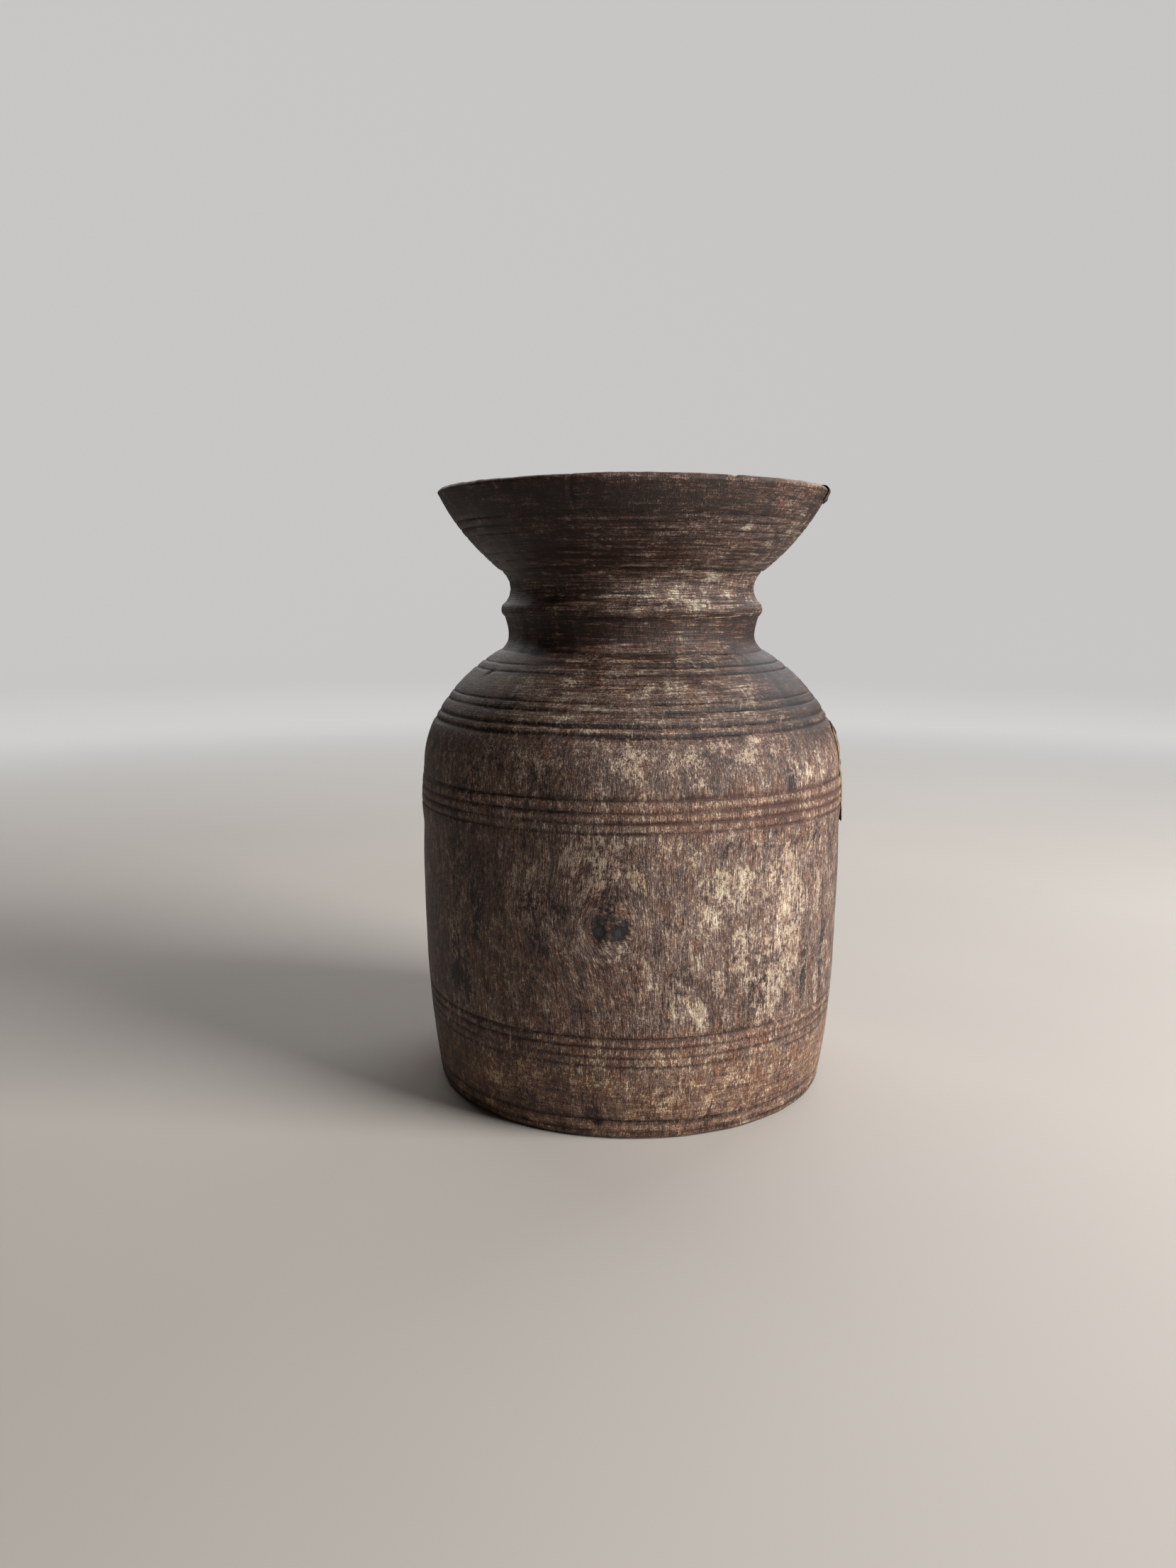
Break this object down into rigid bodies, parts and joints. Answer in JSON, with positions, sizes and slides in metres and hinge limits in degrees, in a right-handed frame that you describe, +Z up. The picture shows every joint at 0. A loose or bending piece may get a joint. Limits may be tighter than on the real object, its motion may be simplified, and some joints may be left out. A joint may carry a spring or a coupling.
{
  "type": "turned wooden pot",
  "caption": "Lathe-turned wooden storage pot with a wide belly, a narrow waisted neck and a flared mouth, mended with a nailed metal sheet and a folded rim clip.",
  "frame": {"origin": "on the pot's axis, at the level that it stands on", "axes": "+Z up along the turning axis, out of the mouth; +X towards the side mended with the nailed sheet"},
  "size_m": [0.1808, 0.1801, 0.2506],
  "materials": {
    "old_wood": "satin, smoke-darkened and worn",
    "patch_metal": "tarnished",
    "nail_iron": "rusted",
    "clip_iron": "rusted"
  },
  "bodies": {
    "root": {"turned_body": "old_wood", "side_patch": "patch_metal", "side_patch_tacks": "nail_iron", "rim_clip": "clip_iron", "rim_clip_pin": "nail_iron"}
  },
  "joints": []
}
